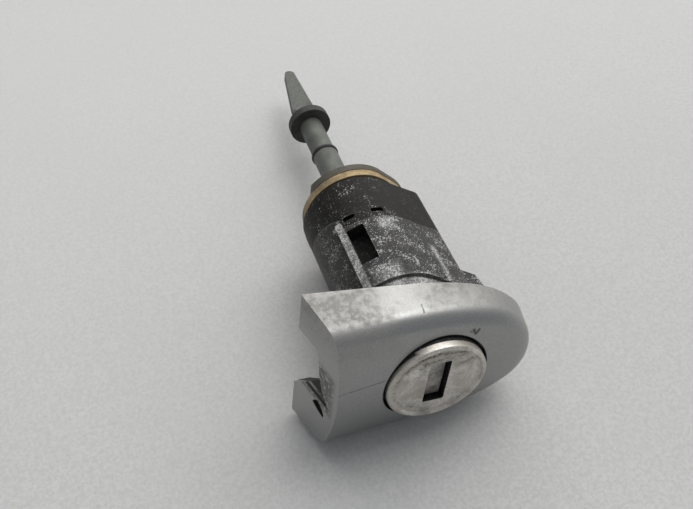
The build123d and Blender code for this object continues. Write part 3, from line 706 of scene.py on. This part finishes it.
@dataclass(frozen=True)
class Finishes:
    """Every finish of the lock, by the record's material slots."""

    cap: Finish = SatinSilverPaint(
        "satin silver paint", "cap_paint", (0.32, 0.322, 0.318), 0.82, 0.29,
        # Painted shade: the gap round the key face, the inside of the notch, the thin gap by its rib and the
        # groove in the slanted end.
        painted_shade_places=(Ring(0.0, 9.5, -3.0, 6.0, 0.12),
                      Box((-16.5, 6.4, -7.3), (-13.0, 20.0, 6.6), about_up=-END_SLANT, softness=0.4),
                      Box((-17.3, 6.0, -3.95), (-16.75, 13.5, -3.5), about_up=-END_SLANT, softness=0.08),
                      Box((-17.12, 6.0, -8.0), (-15.0, 11.5, -4.4), about_up=-END_SLANT, softness=0.06)),
        marks=(Mark((-15.5, -0.9, 2.3), (-9.49, -0.55, 2.98), 0.13, 0.25),
               Mark((-18.4, -1.06, 2.1), (-15.5, -0.9, 2.4), 0.13, 0.5, 0.5),
               Mark((5.8, 1.1, 9.2), (6.25, 0.99, 8.3), 0.42, 0.4, 1.0),
               Mark((6.8, 1.22, 9.0), (6.35, 1.02, 8.4), 0.34, 0.4, 1.0),
               Mark((5.2, 1.1, 9.1), (5.5, 1.1, 8.8), 0.25, 0.4, 0.6),
               Mark((-2.5, 4.9, 13.5), (-2.71, 3.46, 13.27), 0.2, 0.4)),
        flecked=(Box((-17.4, 5.6, -4.6), (-15.0, 10.6, 3.8), about_up=-END_SLANT, softness=2.4),
                 Box((-17.3, 6.0, -4.9), (-16.0, 16.0, -3.6), about_up=-END_SLANT, softness=1.2)),
        smears=(Box((-24.5, 1.0, 10.5), (-9.5, 11.5, 18.0), softness=7.0),
                Box((0.0, 5.5, 9.0), (17.0, 11.5, 18.0), softness=6.0)))
    housing: Finish = CorrodedCasting(
        "corroded zinc casting", "zinc_casting", (0.017, 0.018, 0.0195), gloss=0.26, cover=0.76,
        stain=(0.035, 0.031, 0.026),
        # Painted shade: the window in the barrel's top, and the barrel's upper rear where it meets the
        # collar.
        painted_shade_places=(Box((-1.72, 17.7, 9.0), (1.72, 26.3, 12.9), about_axis=28.7, softness=0.35),
                      Box((-7.4, 27.1, 6.0), (14.0, 34.0, 14.0))),
        pale_places=(Box((-0.75, 9.0, 13.2), (0.75, 28.6, 14.2), about_axis=39.2, softness=0.4),
                     Box((-2.3, 24.0, 11.0), (0.6, 26.6, 14.0), softness=1.4),
                     # The neck behind the cap: pale crust, which is also painted light that lifts the shade
                     # in the neck's recess.
                     Box((-8.0, 6.0, 6.0), (9.0, 12.7, 14.0), softness=1.0),
                     Box((-6.5, 12.0, 9.0), (-2.6, 15.5, 14.0), softness=2.2),
                     Box((6.3, 13.0, 7.0), (7.3, 21.5, 10.5), softness=0.8)))
    collar: Finish = CorrodedCasting(
        "dark collar casting", "collar_casting", (0.008, 0.0078, 0.0072), gloss=0.13, cover=0.6,
        stain=(0.016, 0.014, 0.011),
        # Painted shade: the two slots in the collar.
        painted_shade_places=(Box((-1.35, 28.3, 9.0), (1.35, 29.7, 12.95), about_axis=29.5),
                      Box((-1.35, 28.3, 9.0), (1.35, 29.7, 12.3), about_axis=5.9)),
        smooth_places=(Box((2.2, 26.0, -15.0), (14.0, 40.0, 13.0), softness=2.0),
                       Box((-0.6, 30.0, 8.0), (3.4, 34.0, 14.0), softness=1.0)))
    sleeve: Finish = FilmedMetal("plain grey casting", "sleeve_casting", (0.36, 0.36, 0.36), 0.8)
    plug: Finish = FilmedMetal(
        "plug casting", "plug_casting", (0.30, 0.29, 0.27), 0.6,
        # Painted shade: the plug's front, behind the key face.
        painted_shade_places=(Ring(0.0, 9.2, -3.0, 6.8),))
    cover: Finish = FilmedMetal(
        "worn stainless cover", "cover_stainless", (0.74, 0.71, 0.66), 0.85, 0.33,
        film=(0.17, 0.14, 0.10), cover=0.46, patch_scale=300.0,
        # Painted shade: the key slot's walls, the thin gap round the cover's rim and the cover's left inner
        # wall.
        painted_shade_places=(Box((-2.3, -0.8, -5.4), (2.3, 0.6, 5.4), softness=0.08),
                      Ring(8.78, 9.2, 0.3, 6.0),
                      Box((-9.6, -0.3, -9.6), (-3.4, 6.0, 7.7), softness=0.4)),
        # The ring inside the dish's step is painted shade of that step, with dirt; the box above the slot is
        # dirt.
        dirty_places=(Ring(7.1, 7.9, -1.1, -0.6, 0.3),
                      Box((-3.4, -1.5, 2.0), (3.6, -0.6, 6.6), softness=1.6)),
        # The first four marks form a dark arc inside the rim's upper left, painted shade under the dish's
        # step; the rest are dirt marks.
        streaks_and_painted_shade=(Mark((-7.5, -0.95, 1.9), (-6.2, -0.95, 4.4), 0.8, 0.7, 0.6),
                 Mark((-6.2, -0.95, 4.4), (-4.0, -0.95, 6.4), 1.1, 0.7, 0.9),
                 Mark((-4.0, -0.95, 6.4), (-0.6, -0.95, 7.4), 1.2, 0.7, 1.15),
                 Mark((-0.6, -0.95, 7.4), (4.4, -0.95, 6.4), 1.0, 0.7, 1.0),
                 Mark((-3.0, -0.85, 5.3), (3.4, -0.85, 5.9), 1.7, 2.6),
                 Mark((-4.4, -0.85, 1.6), (-2.5, -0.85, 3.5), 0.6, 1.4, 0.4),
                 Mark((-3.9, -0.85, -5.4), (-1.2, -0.85, -7.0), 1.1, 2.2, 0.6),
                 Mark((3.0, -0.85, -6.9), (6.2, -0.85, -4.3), 0.7, 1.6, 0.4),
                 Mark((2.9, -0.85, 3.6), (6.0, -0.85, 4.6), 0.8, 2.0, 0.5)))
    shutter: Finish = FilmedMetal(
        "stainless shutter", "shutter_stainless", (0.60, 0.58, 0.54), 0.85, 0.34, film=(0.07, 0.058, 0.045),
        cover=0.5, patch_scale=420.0, film_strength=0.8,
        # Painted shade: the shutter where it lies deep in the slot and along the slot's side.
        painted_shade_places=(Box((-6.0, 0.62, -8.0), (6.0, 6.0, 8.0), softness=0.1),
                      Box((-6.0, -1.0, -8.0), (-1.6, 6.0, 8.0), softness=0.3)))
    plate: Finish = FilmedMetal(
        "grey-green plate steel", "plate_steel", (0.085, 0.079, 0.061), 0.3,
        film=(0.05, 0.042, 0.03), cover=0.5, gloss=0.4)
    tail: Finish = FilmedMetal(
        "grey-khaki tail steel", "tail_steel", (0.148, 0.157, 0.14), 0.4, 0.46,
        film=(0.05, 0.051, 0.042), cover=0.52, film_strength=0.75, patch_scale=210.0,
        dirty_places=(Box((-6.0, 72.0, -6.0), (6.0, 95.0, 6.0), softness=3.0),))
    spring: Finish = FilmedMetal("spring steel", "spring_steel", (0.42, 0.42, 0.42), 0.9, 0.35)
    brass: Finish = FilmedMetal(
        "dull brass", "brass", (0.50, 0.375, 0.20), 0.5,
        film=(0.055, 0.042, 0.026), cover=0.52, patch_scale=300.0, film_strength=0.8)
    rubber: Finish = MattRubber("matt black rubber", "black_rubber", (0.014, 0.014, 0.014), 0.0, 0.65)

    def build(self, effects: Effects) -> dict[str, Material]:
        """Make all the materials from the shared shader groups, by slot name."""
        return {finish.slot: finish.build(effects) for finish in vars(self).values()}


def face_outwards(mesh: Mesh, weld: bool = False) -> None:
    """Turn a closed mesh's faces outwards.

    Args:
        mesh: The mesh to mend.
        weld: Whether its loose triangles are joined first.
    """
    work = bmesh.new()
    work.from_mesh(mesh)
    if weld:
        bmesh.ops.remove_doubles(work, verts=work.verts, dist=WELD)
    bmesh.ops.recalc_face_normals(work, faces=work.faces)
    work.to_mesh(mesh)
    work.free()


def plain_mesh(carrier: Object) -> Mesh:
    """Take what an object's modifier makes, and remove the object.

    Args:
        carrier: An object that stands in the scene for this alone.

    Returns:
        The plain mesh.
    """
    graph = bpy.context.evaluated_depsgraph_get()
    mesh = bpy.data.meshes.new_from_object(carrier.evaluated_get(graph))
    carrier.modifiers.clear()
    bpy.data.objects.remove(carrier)
    return mesh


def cut(mesh: Mesh, cutter: Mesh) -> Mesh:
    """Take one closed mesh away from another.

    Args:
        mesh: The mesh to cut.
        cutter: The mesh to take away.

    Returns:
        The cut mesh.
    """
    whole, tool = (shown(part.name, part) for part in (mesh, cutter))
    taking = whole.modifiers.new("cut", "BOOLEAN")
    taking.operation, taking.solver, taking.object = "DIFFERENCE", "EXACT", tool
    left = plain_mesh(whole)
    bpy.data.objects.remove(tool)
    return left


@dataclass
class Dresser:
    """Turns CAD nodes into dressed pieces."""

    materials: dict[str, Material]
    slots: dict[str, str] = field(default_factory=lambda: {
        part["node"]: part["material_slot"] for part in frame["record"]["subparts"]})

    def keep(self, *nodes: str) -> None:
        """Leave CAD nodes as they are, with their finish.

        Args:
            *nodes: Names of the nodes.
        """
        for node in nodes:
            worn = frame["nodes"][node].data.materials
            worn.clear()
            worn.append(self.materials[self.slots[node]])

    def add(self, name: str, mesh: Mesh, body: str, slot: str) -> Object:
        """Add a piece from a finished mesh.

        Args:
            name: The piece's name.
            mesh: Its mesh.
            body: The body it rides on.
            slot: Its material slot.

        Returns:
            The new piece.
        """
        mesh.name = name
        mesh.materials.clear()
        mesh.materials.append(self.materials[slot])
        piece = shown(name, mesh)
        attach(piece, body)
        log.info("%s: %d faces", name, len(mesh.polygons))
        return piece

    def copy(self, node: str, body: str, smooth: float = 32.0,
             cutter: Mesh | None = None) -> None:
        """Stand a welded, smooth copy in for a CAD node.

        Args:
            node: The CAD node.
            body: The body it rides on.
            smooth: Edges that turn by less than this many degrees are shaded smooth.
            cutter: A closed mesh that is taken away, or None.
        """
        mesh = frame["nodes"][node].data.copy()
        imported = mesh.attributes.get("custom_normal")
        if imported:
            mesh.attributes.remove(imported)
        face_outwards(mesh, weld=True)
        if cutter:
            mesh = cut(mesh, cutter)
        mesh.shade_smooth()
        mesh.set_sharp_from_angle(angle=math.radians(smooth))
        piece = self.add(f"{node}_dressed", mesh, body, self.slots[node])
        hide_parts(node)


@dataclass
class Assembly:
    """Nodes that belong together: some get a copy on a body, and some are kept as they are."""

    copied: Riders = ()
    kept: tuple[str, ...] = ()

    def build(self, dresser: Dresser) -> None:
        """Dress the pieces.

        Args:
            dresser: Makes the pieces.
        """
        for node, body in self.copied:
            dresser.copy(node, body)
        dresser.keep(*self.kept)


@dataclass
class HandleCap(Assembly):
    """The cap that closes the end of the door handle.

    Outlines on its slanted end are given as millimetres along the axis and up.
    """

    kept: tuple[str, ...] = ("face_seal",)
    end_corner: tuple[float, float] = (-20.8 * MM, 10.637 * MM)
    web_outline: tuple = ((0.9, 7.1), (5.1, 7.1), (5.1, 6.3), (4.3, 2.0), (3.2, -1.4), (1.35, -3.6),
                          (0.9, -4.1))
    web_inset: float = 0.06 * MM
    web_thickness: float = 1.2 * MM
    groove_outline: tuple = ((5.2, -6.2), (4.6, -5.3), (3.86, -4.7), (3.1, -5.0), (2.45, -5.65), (1.9, -6.65),
                             (2.05, -7.35), (3.38, -7.1), (4.6, -6.6))
    groove_depth: float = 0.55 * MM
    groove_above: float = 1.0 * MM
    smooth: float = 30.0

    def _on_end(self, name: str, outline: tuple, near: float, far: float) -> Mesh:
        """Make a plate that lies along the slanted end of the cap.

        Args:
            name: The mesh's name.
            outline: Its corners on the end.
            near: Depth of its outer side below the end's plane.
            far: Depth of its inner side.

        Returns:
            A closed mesh.
        """
        lean = math.radians(END_SLANT)
        inward = Vector((math.cos(lean), math.sin(lean), 0.0))
        corner_x, corner_y = self.end_corner
        corners = [Vector((corner_x - (y * MM - corner_y) * math.tan(lean), y * MM, z * MM)) + inward * depth
                   for depth in (near, far) for y, z in outline]
        count = len(outline)
        sides = [(i, (i + 1) % count, (i + 1) % count + count, i + count) for i in range(count)]
        ends = [tuple(range(count)), tuple(range(2 * count - 1, count - 1, -1))]
        mesh = bpy.data.meshes.new(name)
        mesh.from_pydata(corners, [], ends + sides)
        face_outwards(mesh)
        return mesh

    def build(self, dresser: Dresser) -> None:
        """Dress the cap with its open groove, the notch's web and the seal.

        Args:
            dresser: Makes the pieces.
        """
        groove = self._on_end("groove tool", self.groove_outline, -self.groove_above, self.groove_depth)
        dresser.copy("handle_end_cap", "housing", smooth=self.smooth, cutter=groove)
        web = self._on_end("notch_web", self.web_outline, self.web_inset, self.web_thickness)
        dresser.add("notch_web", web, "housing", dresser.slots["handle_end_cap"])
        super().build(dresser)


@dataclass
class KeyFace(Assembly):
    """The stainless cover with the shutter behind its slot."""

    copied: Riders = (("key_face_cover", "plug"), ("dust_shutter", "shutter"))
    kept: tuple[str, ...] = ("shutter_pin", "shutter_spring")


@dataclass(frozen=True)
class CorrosionCrust:
    """Crumbs of corrosion that stand on the upper side of the barrel."""

    count: int = 2600
    least: float = 0.05 * MM
    most: float = 0.16 * MM
    flatness: float = 0.45
    patch_scale: float = 420.0
    threshold: float = 0.52
    upward: float = 0.25
    back_limit: float = 27.6 * MM
    seed: int = 7
    density_gain: float = 6.0
    between_patches: float = 0.12
    fade: tuple[float, float] = (0.07, 0.12)
    fully_up: float = 0.8

    def _tree(self, material: Material) -> NodeTree:
        """Build the tree that scatters the crumbs over a surface.

        Args:
            material: The crumbs' material.

        Returns:
            The geometry tree.
        """
        tree = bpy.data.node_groups.new("Corrosion crumbs", "GeometryNodeTree")
        tree.is_modifier = True
        for way in ("INPUT", "OUTPUT"):
            tree.interface.new_socket(name="Geometry", in_out=way, socket_type="NodeSocketGeometry")
        for label, value in (("Density", 1.0), ("Least", self.least), ("Most", self.most)):
            tree.interface.new_socket(name=label, in_out="INPUT",
                                      socket_type="NodeSocketFloat").default_value = value
        w = Wiring(tree)
        given = w.node("NodeGroupInput").outputs
        result = w.node("NodeGroupOutput")
        place = w.node("GeometryNodeInputPosition").outputs[0]
        noise = w.node("ShaderNodeTexNoise", {"Vector": place, "Scale": self.patch_scale, "Detail": 4.0})
        lift = w.split(w.node("GeometryNodeInputNormal").outputs[0])[2]
        along = w.split(place)[1]
        patchy = w.spread(noise.outputs[0], self.threshold - self.fade[0], self.threshold + self.fade[1])
        wanted = w.times(w.plus(patchy, self.between_patches), w.spread(lift, self.upward, self.fully_up))
        share = w.times(wanted, w.maths("LESS_THAN", along, self.back_limit))
        spots = w.node("GeometryNodeDistributePointsOnFaces", {
            "Mesh": given["Geometry"], "Seed": self.seed,
            "Density": w.times(share, given["Density"])}, distribute_method="RANDOM").outputs
        crumb = w.node("GeometryNodeMeshIcoSphere").outputs["Mesh"]
        size = w.node("FunctionNodeRandomValue", {
            2: given["Least"], 3: given["Most"], "Seed": self.seed + 1}, data_type="FLOAT").outputs[1]
        squash = w.node("ShaderNodeCombineXYZ", {
            0: size, 1: size, 2: w.times(size, self.flatness)}).outputs[0]
        placed = w.node("GeometryNodeInstanceOnPoints", {
            "Points": spots["Points"], "Instance": crumb, "Rotation": spots["Rotation"], "Scale": squash})
        real = w.node("GeometryNodeRealizeInstances", {0: placed.outputs[0]})
        dressed = w.node("GeometryNodeSetMaterial", {"Geometry": real.outputs[0], "Material": material})
        return w.end(result, Geometry=dressed.outputs[0])

    def build(self, node: str, body: str, dresser: Dresser) -> None:
        """Grow the crust on one CAD node, as one plain mesh.

        Args:
            node: The CAD node under the crust.
            body: The body it rides on.
            dresser: Makes the piece.
        """
        ground = shown("crust ground", frame["nodes"][node].data.copy())
        area = sum(face.area for face in ground.data.polygons)
        tree = self._tree(dresser.materials[dresser.slots[node]])
        scatter = ground.modifiers.new("crumbs", "NODES")
        scatter.node_group = tree
        sockets = {item.name: item.identifier for item in tree.interface.items_tree if item.in_out == "INPUT"}
        scatter[sockets["Density"]] = self.count / area * self.density_gain
        mesh = plain_mesh(ground)
        mesh.shade_smooth()
        dresser.add(f"{node}_crust", mesh, body, dresser.slots[node])


@dataclass
class Barrel(Assembly):
    """The housing and the collar at its rear, with the rings behind it."""

    copied: Riders = (("lock_housing", "housing"), ("rear_collar", "housing"),
                      ("brass_ring", "housing"), ("rear_plate", "housing"))
    kept: tuple[str, ...] = ("return_spring",)
    housing_crust: CorrosionCrust = CorrosionCrust()
    collar_crust: CorrosionCrust = CorrosionCrust(count=500, threshold=0.6, back_limit=40.0 * MM, seed=19)

    def build(self, dresser: Dresser) -> None:
        """Dress the barrel's pieces, and grow the crust on two of them.

        Args:
            dresser: Makes the pieces.
        """
        super().build(dresser)
        self.housing_crust.build("lock_housing", "housing", dresser)
        self.collar_crust.build("rear_collar", "housing", dresser)


@dataclass
class Tail(Assembly):
    """The shaft that carries the key's turn to the latch, and what sits on it."""

    copied: Riders = (("tail_shaft", "tail"), ("shaft_disc", "tail"), ("shaft_o_ring", "tail"))
    kept: tuple[str, ...] = ("rear_circlip",)


@dataclass
class InnerWorks(Assembly):
    """The plug with its wafers, and the sleeve round it."""

    copied: Riders = (("lock_plug", "plug"),)
    kept: tuple[str, ...] = ("plug_circlip", "locking_sleeve")
    wafers: int = 8

    def __post_init__(self) -> None:
        """Count the wafers and their springs among what is kept."""
        self.kept += tuple(f"{kind}_{number}" for number in range(1, self.wafers + 1)
                           for kind in ("wafer", "wafer_spring"))


@dataclass
class Studio:
    """Pale floor, soft light and the camera at the photograph's viewing angle."""

    floor_normal: Point = (-0.1237, -0.0802, 0.9891)
    floor_drop: float = 14.80 * MM
    floor_size: float = 1.6
    floor_dark: Colour = (0.50, 0.50, 0.495)
    floor_pale: Colour = (0.60, 0.60, 0.595)
    # Painted light: the paler colour towards the floor's far side.
    floor_far_painted_light: Colour = (0.69, 0.69, 0.68)
    camera_place: Point = (-56.385 * MM, -84.815 * MM, 124.027 * MM)
    camera_right: Point = (0.942845, -0.320527, 0.091139)
    camera_up: Point = (0.164671, 0.685928, 0.708792)
    focal_pixels: float = 956.24
    image_width: int = 693
    sensor: float = 36.0
    lamp_place: Point = (0.25, 0.16, 0.80)
    lamp_target: Point = (0.0, 0.03, 0.0)
    lamp_size: float = 0.45
    lamp_power: float = 1.9
    window: Point = (0.30, 0.60, 0.74)
    window_edge: tuple[float, float] = (0.58, 0.86)
    low_light: Colour = (0.31, 0.317, 0.335)
    high_light: Colour = (1.78, 1.76, 1.72)

    def build(self) -> None:
        """Set up the whole studio."""
        self._floor()
        self._lamp()
        self._world()
        self._camera()
        bpy.context.scene.view_settings.view_transform = "Standard"

    def _floor(self) -> None:
        """Lay the pale floor that the lock lies on."""
        up = Vector(self.floor_normal).normalized()
        across = Vector((1, 0, 0)).cross(up).normalized()
        along = across.cross(up).normalized()
        centre = up * -self.floor_drop
        half = self.floor_size / 2
        mesh = bpy.data.meshes.new("floor")
        mesh.from_pydata([centre + along * half * a + across * half * b
                          for a, b in ((-1, -1), (1, -1), (1, 1), (-1, 1))], [], [(0, 1, 2, 3)])
        if mesh.polygons[0].normal.dot(up) < 0:
            mesh.flip_normals()
        mesh.materials.append(self._board())
        floor = shown("floor", mesh)

    def _board(self) -> Material:
        """Make the floor's pale, finely grained board, with painted light that makes it paler towards its far
        side.

        Returns:
            The material.
        """
        w = Coat("pale board", {"Roughness": 0.75, "Specular IOR Level": 0.2})
        fine = w.noise(1400.0, 4.0, 0.7)["Fac"]
        tone = w.blend(w.spread(fine, 0.3, 0.7), self.floor_dark, self.floor_pale)
        clouds = w.spread(w.noise(30.0, 3.0)["Fac"], 0.3, 0.7, 0.0, 0.25)
        along = w.split(w.place())[1]
        clouded = w.blend(clouds, tone, self.floor_dark)
        # Painted light: the board is blended to a paler colour towards its far side.
        w.feed("Base Color", w.blend(w.spread(along, -0.02, 0.14, 0.0, 0.6), clouded, self.floor_far_painted_light))
        w.relief(fine, strength=0.25, distance=0.0002)
        return w.material

    def _lamp(self) -> None:
        """Hang one soft lamp that looks at the lock."""
        light = bpy.data.lights.new("ceiling", "AREA")
        light.shape, light.size, light.energy = "SQUARE", self.lamp_size, self.lamp_power
        lamp = shown("ceiling", light)
        lamp.location = self.lamp_place
        lamp.rotation_mode = "QUATERNION"
        aim = Vector(self.lamp_target) - Vector(self.lamp_place)
        lamp.rotation_quaternion = aim.to_track_quat("-Z", "Y")

    def _world(self) -> None:
        """Light the lock from a broad bright side of the sky, and softly from all round."""
        world = bpy.data.worlds.new("studio")
        bpy.context.scene.world = world
        world.use_nodes = True
        world.node_tree.nodes.clear()
        w = Wiring(world.node_tree)
        ray = w.node("ShaderNodeTexCoord").outputs["Generated"]
        nearness = w.vector("DOT_PRODUCT", ray, tuple(Vector(self.window).normalized()))
        light = w.blend(w.spread(nearness, *self.window_edge), self.low_light, self.high_light)
        sky = w.node("ShaderNodeBackground", {"Color": light})
        w.node("ShaderNodeOutputWorld", {0: sky.outputs[0]})

    def _camera(self) -> None:
        """Stand the camera where the photograph was taken from."""
        right, up = Vector(self.camera_right), Vector(self.camera_up)
        data = bpy.data.cameras.new("photo view")
        data.sensor_width = self.sensor
        data.lens = self.focal_pixels / self.image_width * self.sensor
        data.clip_start, data.clip_end = 0.01, 10.0
        camera = shown("photo view", data)
        camera.rotation_mode = "QUATERNION"
        camera.rotation_quaternion = Matrix((right, up, right.cross(up))).transposed().to_quaternion()
        camera.location = self.camera_place
        bpy.context.scene.camera = camera


def main() -> None:
    """Dress the lock and set up the studio."""
    logging.basicConfig(level=logging.INFO, format="%(name)s: %(message)s")
    dresser = Dresser(Finishes().build(Effects()))
    for assembly in (HandleCap(), KeyFace(), Barrel(), Tail(), InnerWorks()):
        assembly.build(dresser)
        log.info("%s is dressed", type(assembly).__name__)
    Studio().build()


if __name__ == "__main__":
    main()
